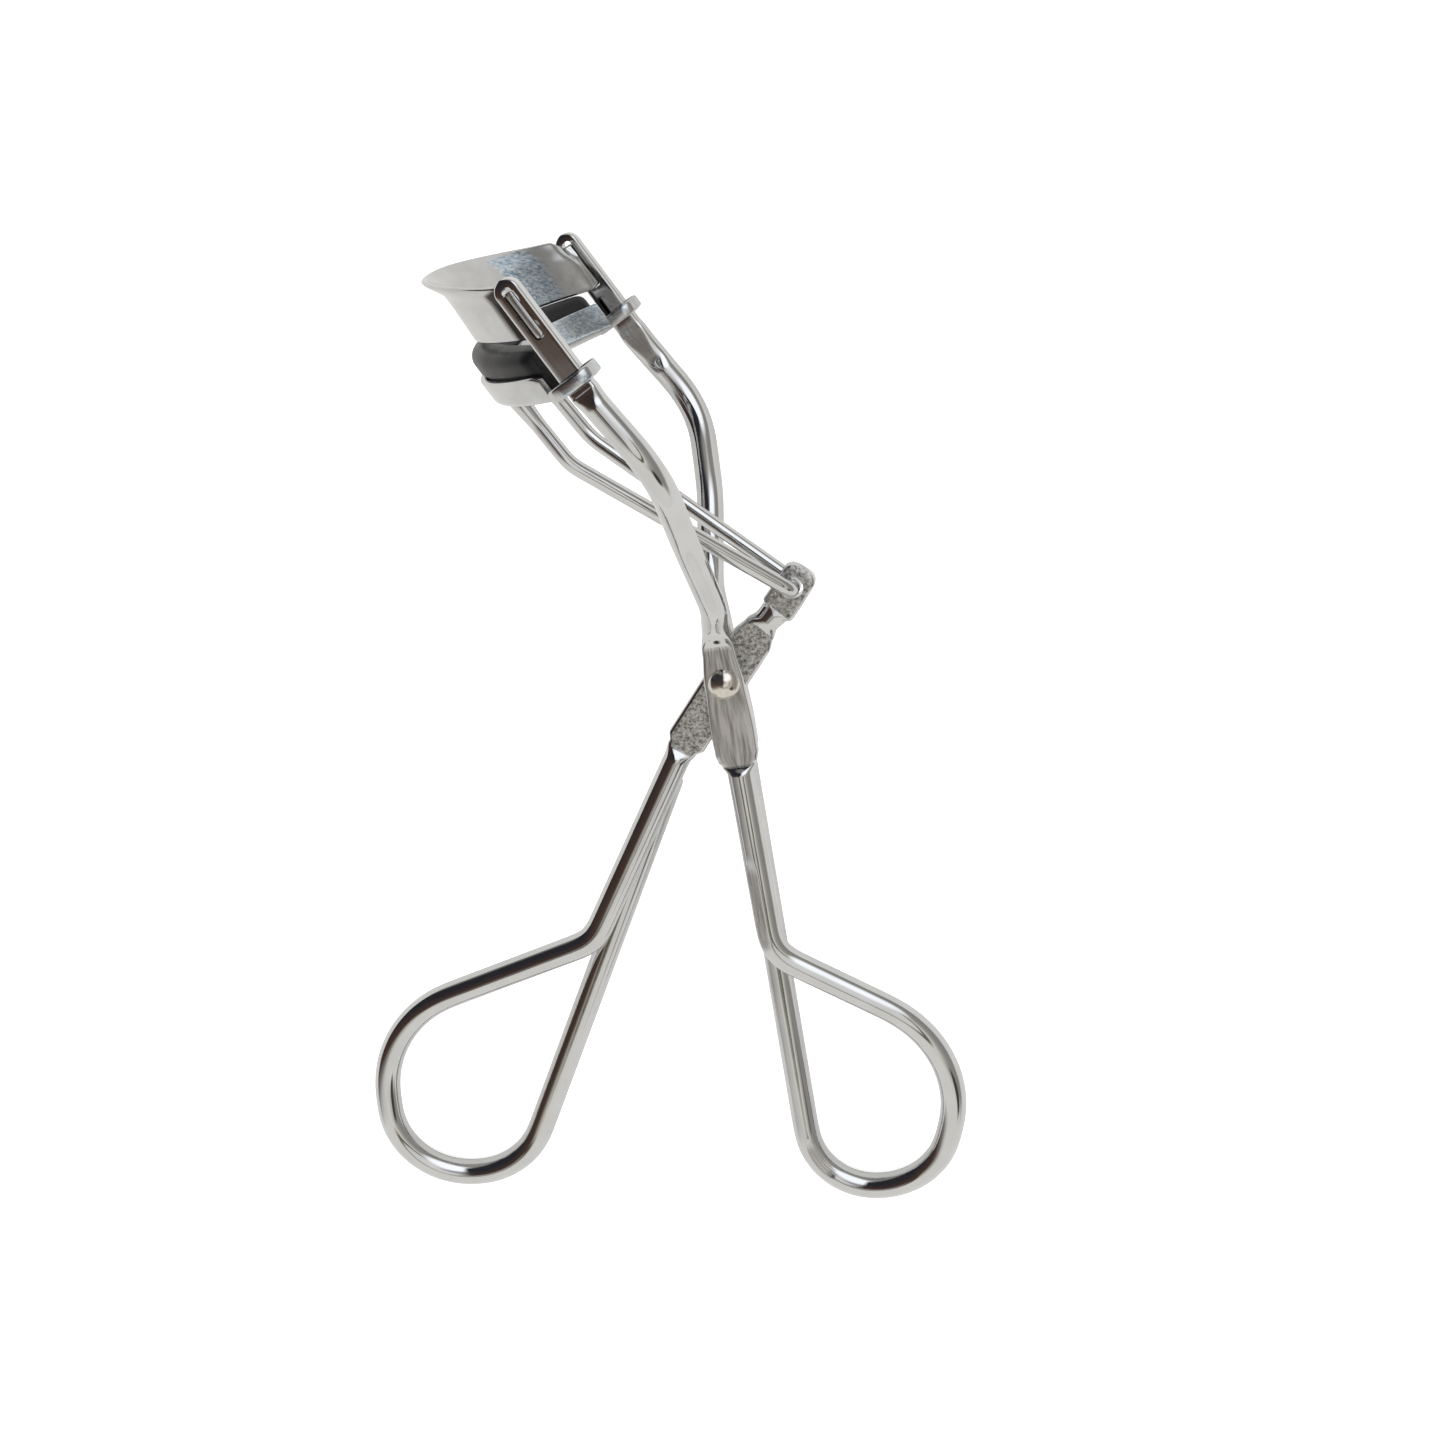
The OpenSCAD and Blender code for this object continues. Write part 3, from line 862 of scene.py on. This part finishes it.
def room():
    """A white tent: even light all round, with panels, their gaps and a dark opening on one side
    that only bright metal picks up."""
    world = bpy.data.worlds.new("light_tent")
    world.use_nodes = True
    tree = world.node_tree
    tree.nodes.clear()
    ray = add(tree, "ShaderNodeTexCoord").outputs["Generated"]

    def towards(x, y, z):
        """How far each ray points a given way: the cosine of its angle from it."""
        way = Vector((x, y, z)).normalized()
        made = add(tree, "ShaderNodeVectorMath", [(0, ray), (1, way)], operation="DOT_PRODUCT")
        return made.outputs["Value"]

    panels = add(tree, "ShaderNodeValToRGB", [("Fac", towards(0, 0, 1))])
    stops = [(0.00, "#98968f"), (0.17, "#7c7a76"), (0.50, "#817f7b"), (0.70, "#989590"), (0.76, "#b3b0a8"),
             (0.80, "#c9c5ba"), (0.825, "#5f5b56"), (0.85, "#57534e"), (0.87, "#bfbdb8"), (0.97, "#cac9c7"),
             (1.00, "#8c8c91")]
    ramp = panels.color_ramp
    while len(ramp.elements) < len(stops):
        ramp.elements.new(0.5)
    for element, (place, tone) in zip(ramp.elements, stops):
        element.position = place
        element.color = srgb(tone)
    near_end = mixed(tree, ranged(tree, towards(0, -1, 0), 0.50, 0.68), panels.outputs["Color"],
                     srgb("#c6c4bf"))
    lamp = mixed(tree, ranged(tree, towards(0.26, 0.56, 0.79), 0.86, 0.95), near_end, srgb("#f7f9fc"))
    gap = mixed(tree, ranged(tree, towards(0.66, -0.56, 0.50), 0.975, 0.990), lamp, srgb("#3c3834"))
    shade = mixed(tree, ranged(tree, towards(0, 1, 0), -0.3, 0.25), srgb("#3f3028"), srgb("#232328"))
    sides = [ranged(tree, towards(-1, 0, 0), 0.0, 0.07), ranged(tree, towards(0, -1, 0), 0.58, 0.32),
             ranged(tree, towards(-0.55, -0.35, 0.75), 0.20, 0.40)]
    opening = sides[0]
    for side in sides[1:]:
        opening = add(tree, "ShaderNodeMath", [(0, opening), (1, side)], operation="MULTIPLY").outputs[0]
    seen = mixed(tree, opening, gap, shade)
    tent = add(tree, "ShaderNodeBackground", [("Color", seen), ("Strength", 1.65)])
    even = add(tree, "ShaderNodeBackground", [("Color", srgb("#ffffff")), ("Strength", 1.35)])
    gloss = add(tree, "ShaderNodeLightPath").outputs["Is Glossy Ray"]
    mix = add(tree, "ShaderNodeMixShader", [("Fac", gloss), (1, even.outputs[0]), (2, tent.outputs[0])])
    out = add(tree, "ShaderNodeOutputWorld")
    tree.links.new(mix.outputs[0], out.inputs["Surface"])
    bpy.context.scene.world = world


def soft_light(name, place, aim, size, watts):
    light = bpy.data.lights.new(name, "AREA")
    light.shape = "DISK"
    light.size = size
    light.energy = watts
    lamp = bpy.data.objects.new(name, light)
    lamp.location = place
    lamp.visible_glossy = False
    lamp.rotation_euler = (Vector(aim) - Vector(place)).to_track_quat("-Z", "Y").to_euler()
    bpy.context.scene.collection.objects.link(lamp)


def camera():
    place = Vector((34.57, 36.42, 280.7)) / 1000
    aim = Vector((5.85, 1.57, 10.0)) / 1000
    roll = math.radians(1.12)
    back = (place - aim).normalized()
    right = Vector((0, 1, 0)).cross(back).normalized()
    up = back.cross(right)
    right, up = (math.cos(roll) * right + math.sin(roll) * up, math.cos(roll) * up - math.sin(roll) * right)
    eye = bpy.data.cameras.new("camera")
    eye.sensor_width = 36
    eye.lens = 65.3
    holder = bpy.data.objects.new("camera", eye)
    holder.matrix_world = Matrix.Translation(place) @ Matrix((right, up, back)).transposed().to_4x4()
    bpy.context.scene.collection.objects.link(holder)
    bpy.context.scene.camera = holder


table()
room()
soft_light("overhead", (0.1, -0.1, 0.7), (0, 0, 0), 0.6, 1.0)
camera()
bpy.context.scene.view_settings.view_transform = "Standard"
